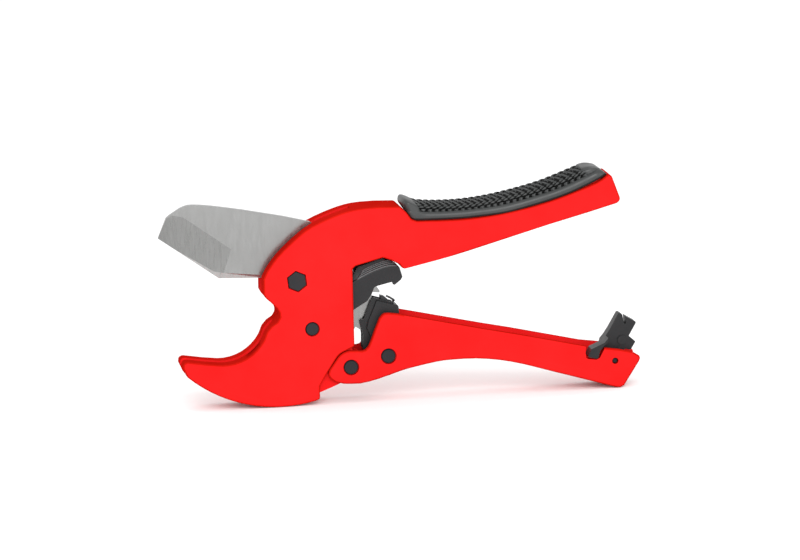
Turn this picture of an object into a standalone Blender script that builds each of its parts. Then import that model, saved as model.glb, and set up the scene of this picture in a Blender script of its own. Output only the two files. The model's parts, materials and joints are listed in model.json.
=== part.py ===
"""Ratcheting cutter for plastic pipe, as separate working parts. Metres, +Z up, X along the handles."""

import math

import bmesh
import bpy
from mathutils import Matrix, Vector

MM = 0.001

# Driving dimensions, in millimetres. Side-view positions are (x, z).
BLADE_PIVOT = (-50.1, 60.0)
RETAINER_PIVOT = (-43.4, 36.7)
HANDLE_PIVOT = (-25.3, 17.2)
PAWL_PIVOT = (-7.2, 21.6)
LATCH_PIVOT = (102.4, 13.1)

HALF_WIDTH = 10.0
WALL = 2.6
CHANNEL_HALF = HALF_WIDTH - WALL
TONGUE_HALF = 7.1
CAVITY_HALF = 7.1
SLOT_HALF = 2.4
BLADE_HALF = 1.3
WEB = 2.3
GAP = 0.3

JAW_CENTRE = (-59.0, 68.0)
JAW_RADIUS = 68.0
SEAT_CENTRE = (-85.6, 43.6)
SEAT_RADIUS = 21.9

TOOTH_COUNT = 6
TOOTH_PITCH = 9.3
FIRST_TOOTH = -12.4
TOOTH_TIP = 41.6
TOOTH_ROOT = 38.0
HUB_RADIUS = 15.3
HUB_NOTCH = 14.1
CLOSING_ANGLE = 62.0

BOLT_FLATS = 8.3
BOLT_SHANK = 2.4
RETAINER_SHANK = 2.0
PIN_SHANK = 2.6
LATCH_SHANK = 1.25
ROUND_STEPS = 32


def clear_scene():
    for item in list(bpy.data.objects):
        bpy.data.objects.remove(item, do_unlink=True)


def make_collection(name):
    made = bpy.data.collections.new(name)
    bpy.context.scene.collection.children.link(made)
    return made


clear_scene()
PARTS = make_collection("pvc_pipe_cutter")
CUTTERS = make_collection("cutters")


def material(name, colour, roughness, metallic=0.0):
    made = bpy.data.materials.new(name)
    made.use_nodes = True
    shader = made.node_tree.nodes["Principled BSDF"]
    shader.inputs["Base Color"].default_value = (*colour, 1.0)
    shader.inputs["Roughness"].default_value = roughness
    shader.inputs["Metallic"].default_value = metallic
    made.diffuse_color = (*colour, 1.0)
    return made


RED = (0.80, 0.030, 0.025)
BLACK = (0.035, 0.035, 0.037)
OXIDE = (0.055, 0.057, 0.060)
STEEL = (0.55, 0.55, 0.54)


# ---------------------------------------------------------------- outlines


def arc(centre, radius, start, end, steps):
    """Points along an arc, angles in degrees."""
    found = []
    for step in range(steps + 1):
        angle = math.radians(start + (end - start) * step / steps)
        found.append((centre[0] + radius * math.cos(angle), centre[1] + radius * math.sin(angle)))
    return found


def ring(centre, radius, steps=ROUND_STEPS):
    return arc(centre, radius, 0.0, 360.0, steps)[:-1]


def through(points, steps=4):
    """A smooth open run through the points (Catmull-Rom)."""
    ends = [points[0]] + list(points) + [points[-1]]
    found = []
    for i in range(1, len(ends) - 2):
        a, b, c, d = ends[i - 1 : i + 3]
        for step in range(steps):
            t = step / steps
            found.append(
                tuple(
                    0.5
                    * (
                        2 * b[k]
                        + (c[k] - a[k]) * t
                        + (2 * a[k] - 5 * b[k] + 4 * c[k] - d[k]) * t * t
                        + (3 * b[k] - a[k] - 3 * c[k] + d[k]) * t**3
                    )
                    for k in (0, 1)
                )
            )
    return found + [tuple(points[-1])]


def rounded(points, steps=4):
    """A closed outline whose corners (x, z, radius) are rounded. A point without a radius stays sharp."""
    found = []
    count = len(points)
    for i, corner in enumerate(points):
        here = Vector(corner[:2])
        radius = corner[2] if len(corner) > 2 else 0.0
        if radius <= 0.0:
            found.append(tuple(here))
            continue
        back = Vector(points[i - 1][:2]) - here
        ahead = Vector(points[(i + 1) % count][:2]) - here
        half = back.angle(ahead) / 2.0
        reach = min(radius / math.tan(half), 0.49 * back.length, 0.49 * ahead.length)
        radius = reach * math.tan(half)
        start = here + back.normalized() * reach
        end = here + ahead.normalized() * reach
        centre = here + (back.normalized() + ahead.normalized()).normalized() * (radius / math.sin(half))
        first = (start - centre).angle_signed(Vector((1.0, 0.0)))
        turn = (end - centre).angle_signed(start - centre)
        for step in range(steps + 1):
            angle = first + turn * step / steps
            found.append((centre.x + radius * math.cos(angle), centre.y + radius * math.sin(angle)))
    return found


def polar(centre, radius, degrees):
    angle = math.radians(degrees)
    return (centre[0] + radius * math.cos(angle), centre[1] + radius * math.sin(angle))


# ---------------------------------------------------------------- solids


def put(mesh, name, home, look=None):
    made = bpy.data.objects.new(name, mesh)
    home.objects.link(made)
    if look:
        mesh.materials.append(look)
    if home is CUTTERS:
        made.hide_render = True
        made.display_type = "WIRE"
    return made


def plate(name, outline, front, back, look=None, origin=(0.0, 0.0), holes=(), home=None):
    """A flat piece: the side-view outline between two depths (front is towards -Y)."""
    curve = bpy.data.curves.new(name, "CURVE")
    curve.dimensions = "2D"
    curve.fill_mode = "BOTH"
    curve.extrude = (back - front) / 2.0 * MM
    for loop in [outline, *holes]:
        spline = curve.splines.new("POLY")
        spline.points.add(len(loop) - 1)
        for point, (x, z) in zip(spline.points, loop):
            point.co = ((x - origin[0]) * MM, (z - origin[1]) * MM, 0.0, 1.0)
        spline.use_cyclic_u = True
    guide = bpy.data.objects.new(name + "_outline", curve)
    bpy.context.scene.collection.objects.link(guide)
    bpy.context.view_layer.update()
    graph = bpy.context.evaluated_depsgraph_get()
    mesh = bpy.data.meshes.new_from_object(guide.evaluated_get(graph))
    bpy.data.objects.remove(guide, do_unlink=True)
    work = bmesh.new()
    work.from_mesh(mesh)
    bmesh.ops.remove_doubles(work, verts=work.verts, dist=1e-6)
    bmesh.ops.dissolve_limit(work, angle_limit=0.01, verts=work.verts, edges=work.edges)
    upright = Matrix.Translation((0.0, (front + back) / 2.0 * MM, 0.0)) @ Matrix.Rotation(math.pi / 2, 4,
        "X")
    bmesh.ops.transform(work, matrix=upright, verts=work.verts)
    bmesh.ops.recalc_face_normals(work, faces=work.faces)
    work.to_mesh(mesh)
    work.free()
    made = put(mesh, name, home or PARTS, look)
    made.location = (origin[0] * MM, 0.0, origin[1] * MM)
    return made


def disc(name, centre, radius, front, back, look=None, sides=ROUND_STEPS, turn=0.0, home=None):
    """A round (or six-sided) solid along Y."""
    work = bmesh.new()
    bmesh.ops.create_cone(
        work, cap_ends=True, segments=sides, radius1=radius * MM, radius2=radius * MM,
            depth=(back - front) * MM
    )
    along = (
        Matrix.Translation((0.0, (front + back) / 2.0 * MM, 0.0))
        @ Matrix.Rotation(math.pi / 2, 4, "X")
        @ Matrix.Rotation(math.radians(turn), 4, "Z")
    )
    bmesh.ops.transform(work, matrix=along, verts=work.verts)
    bmesh.ops.recalc_face_normals(work, faces=work.faces)
    mesh = bpy.data.meshes.new(name)
    work.to_mesh(mesh)
    work.free()
    made = put(mesh, name, home or PARTS, look)
    made.location = (centre[0] * MM, 0.0, centre[1] * MM)
    return made


def turned(name, centre, profile, look, steps=ROUND_STEPS):
    """A turned piece along Y. The profile is (radius, depth) from the front (-Y) to the back."""
    mesh = bpy.data.meshes.new(name)
    mesh.from_pydata(
        [(radius * MM, 0.0, -depth * MM) for radius, depth in profile],
        [(i, i + 1) for i in range(len(profile) - 1)],
        [],
    )
    made = put(mesh, name, PARTS, look)
    made.location = (centre[0] * MM, 0.0, centre[1] * MM)
    made.rotation_euler = (math.pi / 2, 0.0, 0.0)
    spin = made.modifiers.new("Turned", "SCREW")
    spin.axis = "Z"
    spin.steps = steps
    spin.render_steps = steps
    spin.use_merge_vertices = True
    spin.merge_threshold = 0.00005
    spin.use_smooth_shade = True
    return made


def wire(name, points, thickness, look, origin):
    """A round wire through 3-D points, with its ends filled."""
    curve = bpy.data.curves.new(name, "CURVE")
    curve.dimensions = "3D"
    curve.bevel_depth = thickness / 2.0 * MM
    curve.bevel_resolution = 2
    curve.use_fill_caps = True
    spline = curve.splines.new("POLY")
    spline.points.add(len(points) - 1)
    for point, (x, y, z) in zip(spline.points, points):
        point.co = ((x - origin[0]) * MM, y * MM, (z - origin[1]) * MM, 1.0)
    made = bpy.data.objects.new(name, curve)
    PARTS.objects.link(made)
    curve.materials.append(look)
    made.location = (origin[0] * MM, 0.0, origin[1] * MM)
    return made


def coil(centre, radius, front, back, turns, start, per_turn=16):
    """Points of a close coil along Y, starting at an angle in degrees."""
    found = []
    count = int(round(turns * per_turn))
    for i in range(count + 1):
        x, z = polar(centre, radius, start + 360.0 * turns * i / count)
        found.append((x, front + (back - front) * i / count, z))
    return found


def combine(target, other, operation="DIFFERENCE"):
    made = target.modifiers.new(other.name, "BOOLEAN")
    made.operation = operation
    made.solver = "EXACT"
    made.object = other
    return made


def soften(target, width, segments=2, degrees=35.0):
    made = target.modifiers.new("Rounded_edges", "BEVEL")
    made.width = width * MM
    made.segments = segments
    made.limit_method = "ANGLE"
    made.angle_limit = math.radians(degrees)
    return made


def finish(target, degrees=35.0):
    """Applies the modifiers and shades the result smooth between its sharp edges."""
    bpy.context.view_layer.update()
    graph = bpy.context.evaluated_depsgraph_get()
    mesh = bpy.data.meshes.new_from_object(target.evaluated_get(graph))
    old = target.data
    target.modifiers.clear()
    target.data = mesh
    mesh.name = target.name
    bpy.data.meshes.remove(old)
    mesh.shade_smooth()
    mesh.set_sharp_from_angle(angle=math.radians(degrees))
    return target


red = material("red_enamel", RED, 0.32)
rubber = material("grip_rubber", (0.045, 0.046, 0.047), 0.62)
steel = material("brushed_steel", STEEL, 0.34, 1.0)
oxide = material("black_oxide", OXIDE, 0.42, 0.7)
spring_steel = material("spring_steel", (0.07, 0.07, 0.075), 0.35, 0.8)
zinc = material("zinc_steel", (0.42, 0.42, 0.41), 0.38, 1.0)
plastic = material("black_plastic", BLACK, 0.48)
tool_steel = material("dark_tool_steel", (0.05, 0.05, 0.052), 0.45, 0.6)


# ---------------------------------------------------------------- cast body

LIP_LINE = [(8.2, 85.9), (25.2, 85.5), (36.8, 85.9), (48.4, 87.1), (60.0, 89.1), (71.6, 91.8), (83.3,
    95.4), (95.0, 99.7), (99.2, 102.2)]
PAD_TOP = [(8.4, 94.6), (17.0, 93.9), (30.0, 93.7), (42.6, 94.8), (54.0, 97.0), (65.8, 99.6), (76.0,
    102.6), (84.0, 106.0), (88.6, 107.5)]

hook_under = arc(JAW_CENTRE, JAW_RADIUS, 229.0, 285.3, 15)
ear_cut = arc(HANDLE_PIVOT, 8.5, 150.0, 106.0, 4)
handle_under = through([(1.6, 63.2), (24.8, 68.2), (48.1, 74.4), (71.3, 80.7), (90.7, 85.6), (104.6,
    89.3)], 3)
seat = arc(SEAT_CENTRE, SEAT_RADIUS, -93.0, -30.5, 8)
lip = through(LIP_LINE, 2)

wide_outline = (
    hook_under
    + [(-40.6, 3.4), (-40.6, 9.0), (-37.2, 14.6)]
    + ear_cut
    + [(-23.4, 27.3), (-23.4, 64.6), (-21.9, 65.9), (-8.6, 69.2), (-4.9, 67.8), (-0.7, 65.5), (0.4, 63.8)]
    + handle_under
    + [(105.9, 90.1), (106.5, 91.5), (102.6, 102.6), (101.2, 103.6)]
    + list(reversed(lip))
    + [(5.6, 86.9), (3.4, 90.2), (0.2, 93.3)]
    + through([(-9.8, 93.7), (-20.4, 93.2), (-30.0, 90.9), (-42.0, 86.1), (-50.0, 80.6), (-59.0, 72.4),
        (-64.2, 65.6)], 3)
    + [(-66.0, 62.0), (-66.1, 54.6), (-65.0, 52.5)]
    + [(-62.9, 50.6), (-60.0, 47.6), (-58.8, 45.4), (-58.6, 43.2), (-60.0, 40.9), (-62.7, 39.2), (-65.0,
        36.6)]
    + list(reversed(seat))
    + [(-94.0, 22.6), (-100.6, 23.7), (-103.8, 24.2), (-105.4, 23.2), (-105.6, 21.2)]
)
body = plate("body_casting", wide_outline, -HALF_WIDTH, HALF_WIDTH, red)
soften(body, 0.7)

tongue_outline = (
    [(-52.0, 8.0), (-41.5, 5.0), (-35.0, 7.4), (-29.4, 9.7)]
    + arc(HANDLE_PIVOT, 8.0, 243.0, 440.0, 16)
    + [(-30.0, 36.0), (-44.0, 26.0)]
)
tongue = plate("tongue_form", tongue_outline, -TONGUE_HALF, TONGUE_HALF, home=CUTTERS)
combine(body, tongue, "UNION")

ridge_top = [(x, z - 3.0) for x, z in through(PAD_TOP, 2)]
ridge_outline = (
    [(6.5, 78.0), (98.0, 96.0), (97.4, 101.6), (92.0, 104.3)] + list(reversed(ridge_top)) + [(6.5, 91.2)]
)
ridge = plate("ridge_form", ridge_outline, -7.2, 7.2, home=CUTTERS)
combine(body, ridge, "UNION")

slot_outline = (
    arc(BLADE_PIVOT, 42.7, 50.5, -42.0, 12)
    + [(-12.0, 28.0), (-12.0, 5.0), (-31.6, 5.0)]
    + arc(HANDLE_PIVOT, 7.4, 225.0, 150.0, 3)
    + [(-35.6, 19.4), (-40.0, 18.6), (-45.0, 22.0), (-49.6, 30.0), (-51.6, 38.0), (-53.6, 42.6), (-57.6,
        44.6)]
    + [(-60.6, 40.4)]
    + [(-66.0, 28.0), (-68.5, 26.4), (-85.0, 18.6), (-101.0, 10.8), (-110.0, 6.0)]
    + [(-128.0, 20.0), (-128.0, 112.0), (-21.2, 112.0)]
)
combine(body, plate("blade_slot", slot_outline, -SLOT_HALF, SLOT_HALF, home=CUTTERS))

cavity_outline = rounded(
    [
        (-10.0, 70.5),
        (-20.4, 66.3),
        (-27.0, 61.6, 2),
        (-37.6, 51.8, 3),
        (-46.0, 45.2, 4),
        (-51.0, 38.2, 4),
        (-48.8, 30.4, 4),
        (-41.0, 28.6, 4),
        (-31.0, 35.6, 3),
        (-22.0, 38.4),
        (-10.0, 38.4),
    ]
)
combine(body, plate("lever_cavity", cavity_outline, -CAVITY_HALF, CAVITY_HALF, home=CUTTERS))

hollow_outline = (
    [(3.0, 60.0), (101.5, 80.0), (101.5, 92.5), (94.0, 96.2), (83.0, 91.8), (71.0, 88.2), (58.0, 85.4)]
    + [(45.0, 83.4), (30.0, 82.4), (14.0, 82.0), (7.0, 79.6), (3.0, 75.0)]
)
combine(body, plate("handle_hollow", hollow_outline, -CHANNEL_HALF, CHANNEL_HALF, home=CUTTERS))

# Holes and recesses for the pins, front and back.
HEX_TURN = 6.0
hex_radius = BOLT_FLATS / 2.0 / math.cos(math.radians(30.0))
combine(body, disc("pivot_hole", BLADE_PIVOT, 2.75, -12.0, 12.0, sides=24, home=CUTTERS))
combine(body, disc("pivot_head_pocket", BLADE_PIVOT, hex_radius + 0.5, -12.0, -8.0, sides=6,
    turn=HEX_TURN, home=CUTTERS))
combine(body, disc("pivot_nut_pocket", BLADE_PIVOT, hex_radius + 0.5, 6.2, 12.0, sides=6, turn=HEX_TURN,
    home=CUTTERS))
combine(body, disc("return_spring_pocket", BLADE_PIVOT, 7.6, 2.0, 5.3, sides=24, home=CUTTERS))
combine(body, disc("retainer_hole", RETAINER_PIVOT, 2.3, -12.0, 12.0, sides=24, home=CUTTERS))
combine(body, disc("retainer_head_recess", RETAINER_PIVOT, 3.55, -12.0, -8.5, home=CUTTERS))
combine(body, disc("retainer_clip_recess", RETAINER_PIVOT, 3.9, 8.5, 12.0, home=CUTTERS))
combine(body, disc("tongue_hole", HANDLE_PIVOT, 2.9, -12.0, 12.0, sides=24, home=CUTTERS))
finish(body)

# ---------------------------------------------------------------- rubber pad

pad_outline = (
    [(7.6, 86.6), (9.6, 86.2)]
    + through([(25.2, 85.8), (36.8, 86.2), (48.4, 87.4), (60.0, 89.4), (71.6, 92.1), (83.3, 95.7), (95.0,
        100.0), (98.9, 102.4)], 2)
    + [(101.2, 104.0), (96.8, 106.6), (92.6, 107.9)]
    + list(reversed(through(PAD_TOP, 2)))
    + [(6.6, 96.6), (3.9, 97.7), (1.4, 96.2), (0.9, 94.0), (3.9, 90.4)]
)
pad = plate("grip_pad", pad_outline, -10.7, 10.7, rubber)
soften(pad, 1.8, 3, 70.0)
ridge_room = [(6.2, 77.0), (98.3, 95.0), (97.7, 101.8), (92.1, 104.6)]
ridge_room += [(x, z + GAP) for x, z in reversed(ridge_top)] + [(6.2, 91.5)]
combine(pad, plate("ridge_room", ridge_room, -7.5, 7.5, home=CUTTERS))
finish(pad)

# ---------------------------------------------------------------- blade

tail = []
for tooth in range(TOOTH_COUNT):
    tip = FIRST_TOOTH - tooth * TOOTH_PITCH
    if tooth:
        tail.append(polar(BLADE_PIVOT, TOOTH_ROOT + 0.4, tip + 4.6))
    tail.append(polar(BLADE_PIVOT, TOOTH_TIP, tip + 1.1))
    tail.append(polar(BLADE_PIVOT, TOOTH_TIP, tip))
    tail.append(polar(BLADE_PIVOT, TOOTH_ROOT, tip - 0.6))
tail_end = FIRST_TOOTH - TOOTH_COUNT * TOOTH_PITCH + 4.0

hub = []
for notch in range(7):
    where = -42.5 - notch * TOOTH_PITCH
    hub.append(polar(BLADE_PIVOT, HUB_RADIUS, where))
    hub.append(polar(BLADE_PIVOT, HUB_RADIUS, where - 2.6))
    hub.append(polar(BLADE_PIVOT, HUB_NOTCH, where - 8.6))

blade_outline = (
    [(-114.6, 82.6), (-110.7, 91.4), (-109.6, 92.7), (-101.2, 97.3), (-98.4, 97.9), (-89.1, 96.9), (-73.8,
        94.2)]
    + [(-54.4, 90.1), (-42.0, 86.9), (-35.5, 82.6), (-30.0, 75.8), (-24.6, 66.2), (-19.0, 59.0), (-13.2,
        54.9)]
    + [(-11.6, 54.1), (-10.6, 53.8)]
    + tail
    + [polar(BLADE_PIVOT, 36.5, tail_end), polar(BLADE_PIVOT, 34.0, tail_end - 1.5), (-35.0, 36.0),
        (-35.9, 46.4)]
    + hub
    + arc(BLADE_PIVOT, HUB_NOTCH, -112.0, -168.0, 6)
    + [(-64.4, 61.0), (-86.1, 61.9)]
)
blade = plate(
    "blade", blade_outline, -BLADE_HALF, BLADE_HALF, steel, BLADE_PIVOT, holes=[ring(BLADE_PIVOT, 4.5, 28)]
)

EDGE_HALF = 0.2
BEVEL_WIDTH = 14.9
edge_from = Vector((-114.6, 82.6))
edge_to = Vector((-86.1, 61.9))
edge_way = (edge_to - edge_from).normalized()
edge_up = Vector((-edge_way.y, edge_way.x))


def bevel_depth(point):
    """Half thickness of the ground face at a side-view point, which grows evenly away from the edge."""
    away = (Vector(point) - edge_from).dot(edge_up)
    return EDGE_HALF + (BLADE_HALF - EDGE_HALF) * away / BEVEL_WIDTH


def grinding_wedge(name, side):
    """A cutter whose flat face follows the blade's ground face on one side."""
    corners = [
        tuple(edge_from - edge_way * 8.0 - edge_up * 4.0),
        tuple(edge_from - edge_way * 8.0 + edge_up * BEVEL_WIDTH),
        tuple(edge_from + edge_way * 32.6 + edge_up * BEVEL_WIDTH),
        (-82.9, 66.7),
        (-86.0, 60.2),
    ]
    work = bmesh.new()
    inner = [work.verts.new((x * MM, side * bevel_depth((x, z)) * MM, z * MM)) for x, z in corners]
    outer = [work.verts.new((x * MM, side * 4.0 * MM, z * MM)) for x, z in corners]
    work.faces.new(inner)
    work.faces.new(list(reversed(outer)))
    for i in range(len(corners)):
        j = (i + 1) % len(corners)
        work.faces.new([inner[j], inner[i], outer[i], outer[j]])
    bmesh.ops.recalc_face_normals(work, faces=work.faces)
    mesh = bpy.data.meshes.new(name)
    work.to_mesh(mesh)
    work.free()
    return put(mesh, name, CUTTERS)


combine(blade, grinding_wedge("grind_front", -1.0))
combine(blade, grinding_wedge("grind_back", 1.0))
finish(blade, 2.0)

# ---------------------------------------------------------------- blade pivot

bolt = disc("blade_pivot_bolt", BLADE_PIVOT, hex_radius, -9.9, -8.4, oxide, sides=6, turn=HEX_TURN)
soften(bolt, 0.35, 2)
combine(bolt, disc("bolt_shank", BLADE_PIVOT, BOLT_SHANK, -8.9, 9.5, sides=24, home=CUTTERS), "UNION")
finish(bolt)
nut = disc("blade_pivot_nut", BLADE_PIVOT, hex_radius, 6.6, 9.6, oxide, sides=6, turn=HEX_TURN)
soften(nut, 0.35, 2)
combine(nut, disc("nut_bore", BLADE_PIVOT, BOLT_SHANK + 0.3, 4.0, 12.0, sides=24, home=CUTTERS))
finish(nut)
turned("blade_pivot_bush", BLADE_PIVOT, [(2.7, -2.2), (4.2, -2.2), (4.2, 2.2), (2.7, 2.2), (2.7, -2.2)],
    zinc, 28)
turned("blade_washer_front", BLADE_PIVOT, [(4.5, -2.1), (8.6, -2.1), (8.6, -1.6), (4.5, -1.6), (4.5,
    -2.1)], zinc, 28)
turned("blade_washer_rear", BLADE_PIVOT, [(4.5, 1.6), (8.6, 1.6), (8.6, 2.1), (4.5, 2.1), (4.5, 1.6)],
    zinc, 28)
return_coil = coil(BLADE_PIVOT, 6.2, 2.9, 4.7, 2.0, 200.0)
wire("blade_return_spring", return_coil, 0.8, spring_steel, BLADE_PIVOT)

# ---------------------------------------------------------------- holding pawl and its release lever


def headed_pin(name, centre, shank, head, front, seat_depth, back):
    profile = [(0.0, front), (head - 0.4, front), (head, front + 0.4), (head, seat_depth), (shank,
        seat_depth)]
    profile += [(shank, back - 0.4), (shank - 0.4, back), (0.0, back)]
    return turned(name, centre, profile, oxide)


headed_pin("retaining_pawl_pin", RETAINER_PIVOT, RETAINER_SHANK, 3.2, -9.8, -8.8, 9.7)
turned("retaining_pin_clip", RETAINER_PIVOT, [(2.3, 8.8), (3.5, 8.8), (3.5, 9.4), (2.3, 9.4), (2.3, 8.8)],
    zinc, 24)

pawl_tip = polar(BLADE_PIVOT, HUB_RADIUS + 0.45, -50.0)
retaining_outline = [
    polar(RETAINER_PIVOT, 5.0, 150.0),
    polar(RETAINER_PIVOT, 5.0, 118.0),
    (pawl_tip[0] - 1.9, pawl_tip[1] - 1.9),
    (pawl_tip[0], pawl_tip[1]),
    (pawl_tip[0] + 1.6, pawl_tip[1] - 0.6),
    (pawl_tip[0] + 1.9, pawl_tip[1] - 2.6),
] + arc(RETAINER_PIVOT, 5.0, 40.0, -190.0, 14)[:-1]
retaining = plate(
    "retaining_pawl", retaining_outline, -1.6, 1.6, tool_steel, RETAINER_PIVOT,
        holes=[ring(RETAINER_PIVOT, 2.3, 24)]
)
soften(retaining, 0.25, 1)
finish(retaining)
retaining_coil = coil(RETAINER_PIVOT, 3.7, 2.5, 4.3, 2.25, 100.0)
wire("retaining_pawl_spring", retaining_coil, 0.8, spring_steel, RETAINER_PIVOT)

lever_outline = rounded(
    [
        (-20.2, 59.0),
        (-14.3, 61.7),
        (-8.3, 63.8),
        (-4.1, 64.4),
        (-0.4, 64.1, 1.2),
        (1.1, 58.9, 0.8),
        (0.2, 57.4),
        (-2.9, 55.1, 0.4),
        (-3.7, 55.6),
        (-3.9, 56.7, 0.5),
        (-11.1, 55.1),
        (-12.6, 54.6),
        (-14.0, 51.2),
        (-16.2, 48.1),
        (-21.7, 44.9),
        (-28.0, 41.0),
        (-37.6, 34.2, 2.0),
        (-40.8, 31.6, 2.0),
        (-45.6, 31.9, 3.0),
        (-48.6, 36.4, 3.0),
        (-46.6, 41.4, 3.0),
        (-37.4, 47.8, 2.0),
        (-27.6, 55.8, 2.0),
    ],
    3,
)
lever = plate("release_lever", lever_outline, -6.5, 6.5, plastic, RETAINER_PIVOT)
soften(lever, 0.45, 2)
thumb_rise = [(-25.0, 56.0), (-21.4, 62.2), (-19.6, 64.4), (-9.8, 67.5), (-8.0, 67.7), (-5.4, 66.5),
    (-1.8, 64.6)]
thumb_rise += [(-1.4, 62.6), (-8.0, 61.8), (-15.0, 58.0), (-22.0, 54.0)]
combine(lever, plate("thumb_rise", thumb_rise, -4.8, 4.8, home=CUTTERS), "UNION")
lever_inside = [(-60.0, 20.0), (-2.6, 20.0), (-2.6, 61.6), (-4.6, 62.1), (-8.3, 61.5), (-14.6, 59.2),
    (-20.6, 56.5)]
lever_inside += [(-28.0, 53.2), (-38.0, 60.0), (-60.0, 60.0)]
combine(lever, plate("lever_inside", lever_inside, -5.0, 5.0, home=CUTTERS))
tail_way = [(-60.0, 30.0), (-7.4, 50.0), (-7.4, 75.0), (-60.0, 75.0)]
combine(lever, plate("tail_way", tail_way, -3.5, 3.5, home=CUTTERS))
combine(lever, disc("lever_hole", RETAINER_PIVOT, 2.3, -9.0, 9.0, sides=24, home=CUTTERS))
finish(lever)

# ---------------------------------------------------------------- lower handle

LOWER_TOP = [(-9.6, 41.6), (-8.6, 42.2), (-6.6, 42.3), (-1.7, 41.6), (0.9, 40.9), (14.3, 37.9), (27.7,
    34.8), (41.1, 31.7)]
LOWER_TOP += [(54.6, 28.8), (68.0, 25.7), (81.4, 22.5), (88.4, 20.9)]
LOWER_UNDER = [(-28.9, 9.4), (-20.9, 9.1), (-12.0, 10.9), (-1.7, 14.0), (4.1, 15.4), (15.7, 17.5), (23.4,
    18.1), (35.0, 18.0)]
LOWER_UNDER += [(46.5, 16.6), (58.0, 13.9), (70.0, 10.2)]

lower_outline = (
    through(LOWER_UNDER, 2)
    + [(102.4, 0.3), (104.6, 0.0), (106.6, 1.0), (113.9, 12.0), (114.6, 13.6), (114.3, 14.8), (111.0,
        16.9), (104.2, 18.5), (96.0, 19.8)]
    + [(88.4, 20.9)]
    + list(reversed(LOWER_TOP[:-1]))
    + [(-11.0, 40.0), (-13.4, 34.4), (-15.1, 30.0)]
    + [(-16.6, 26.7), (-18.2, 25.1), (-20.0, 24.7), (-22.4, 25.0)]
    + arc(HANDLE_PIVOT, 8.0, 95.0, 150.0, 5)
    + [(-35.7, 16.4), (-36.3, 14.4), (-35.4, 12.4), (-32.8, 10.4)]
)
lower = plate("lower_handle", lower_outline, -HALF_WIDTH, HALF_WIDTH, red, HANDLE_PIVOT)
soften(lower, 0.7, 2, 65.0)
web_top = [(x, z + WEB) for x, z in through(LOWER_UNDER[2:], 2) if x > -12.5]
channel_outline = [(-45.0, 0.0), (-13.4, 0.0), (-13.4, 12.9)] + web_top
channel_outline += [(103.0, 2.4), (120.0, 8.0), (120.0, 60.0), (-45.0, 60.0)]
combine(lower, plate("handle_channel", channel_outline, -CHANNEL_HALF, CHANNEL_HALF, home=CUTTERS))
foot_room = [(88.9, 30.0), (88.0, 17.6), (88.3, 15.4), (89.2, 14.7), (93.2, 14.2), (94.9, 14.9), (97.2,
    19.0), (98.2, 30.0)]
combine(lower, plate("foot_notch", foot_room, -13.0, -7.0, home=CUTTERS))
for label, centre in (("ear", HANDLE_PIVOT), ("pawl", PAWL_PIVOT)):
    combine(lower, disc(label + "_hole", centre, 2.9, -12.0, 12.0, sides=24, home=CUTTERS))
    combine(lower, disc(label + "_head_recess", centre, 3.85, -12.0, -8.7, home=CUTTERS))
    combine(lower, disc(label + "_clip_recess", centre, 4.2, 8.7, 12.0, home=CUTTERS))
combine(lower, disc("latch_hole", LATCH_PIVOT, 1.55, -12.0, 12.0, sides=20, home=CUTTERS))
finish(lower)

headed_pin("handle_pivot_pin", HANDLE_PIVOT, PIN_SHANK, 3.45, -9.8, -9.0, 9.7)
headed_pin("drive_pawl_pin", PAWL_PIVOT, PIN_SHANK, 3.45, -9.8, -9.0, 9.7)
for label, centre in (("handle_pivot_clip", HANDLE_PIVOT), ("drive_pawl_clip", PAWL_PIVOT)):
    turned(label, centre, [(2.9, 9.0), (3.9, 9.0), (3.9, 9.5), (2.9, 9.5), (2.9, 9.0)], zinc, 24)

handle_coil = coil(HANDLE_PIVOT, 4.4, -1.4, 1.4, 2.5, 130.0)
handle_leg = [(-24.0, 1.55, 11.9), (-19.0, 1.5, 12.6), (-15.5, 0.6, 13.4), (-11.4, 0.0, 14.3)]
wire(
    "handle_spring",
    [(-36.2, -1.4, 24.0), (-31.4, -1.4, 22.8)] + handle_coil + handle_leg[1:],
    1.1,
    spring_steel,
    HANDLE_PIVOT,
)

# ---------------------------------------------------------------- drive pawl and its cover

PAWL_CLEAR = 42.1
drive_tip = polar(BLADE_PIVOT, PAWL_CLEAR, -14.2)
drive_outline = (
    [drive_tip, (-9.0, 45.6), (-9.3, 40.6), (-10.4, 34.6), (-12.0, 28.8)]
    + arc(PAWL_PIVOT, 4.8, 165.0, 380.0, 12)
    + [(-2.2, 30.0), (-2.4, 40.0), (-4.6, 46.6), (-7.4, 49.2)]
)
drive = plate("drive_pawl", drive_outline, -1.9, 1.9, tool_steel, PAWL_PIVOT, holes=[ring(PAWL_PIVOT, 2.9,
    24)])
soften(drive, 0.25, 1)
finish(drive)

face_outline = rounded(
    [
        (-11.5, 48.0, 0.8),
        (-0.9, 44.9, 1.2),
        (-0.7, 41.2, 1.0),
        (-2.6, 38.0, 1.0),
        (-3.0, 27.0, 2.0),
        (-2.2, 19.4, 2.4),
        (-6.0, 16.4, 2.4),
        (-11.6, 18.4, 2.4),
        (-13.4, 24.0, 1.0),
        (-14.6, 30.2, 0.8),
        (-16.6, 34.8, 1.0),
        (-15.7, 38.2, 1.0),
    ],
    3,
)
inner_outline = rounded(
    [
        (-12.7, 49.1, 0.6),
        (-3.0, 46.2, 0.6),
        (-4.0, 30.0, 1.0),
        (-8.0, 17.4, 2.0),
        (-12.6, 19.0, 2.0),
        (-18.4, 24.6, 1.0),
        (-18.2, 31.2),
        (-18.7, 34.0),
        (-19.6, 37.7, 0.5),
        (-18.9, 38.7, 0.4),
        (-17.5, 39.1, 0.3),
        (-16.6, 41.7),
        (-14.4, 47.1),
    ],
    3,
)
cover = plate("pawl_cover", face_outline, -4.9, 4.9, plastic, PAWL_PIVOT)
soften(cover, 0.5, 2)
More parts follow.
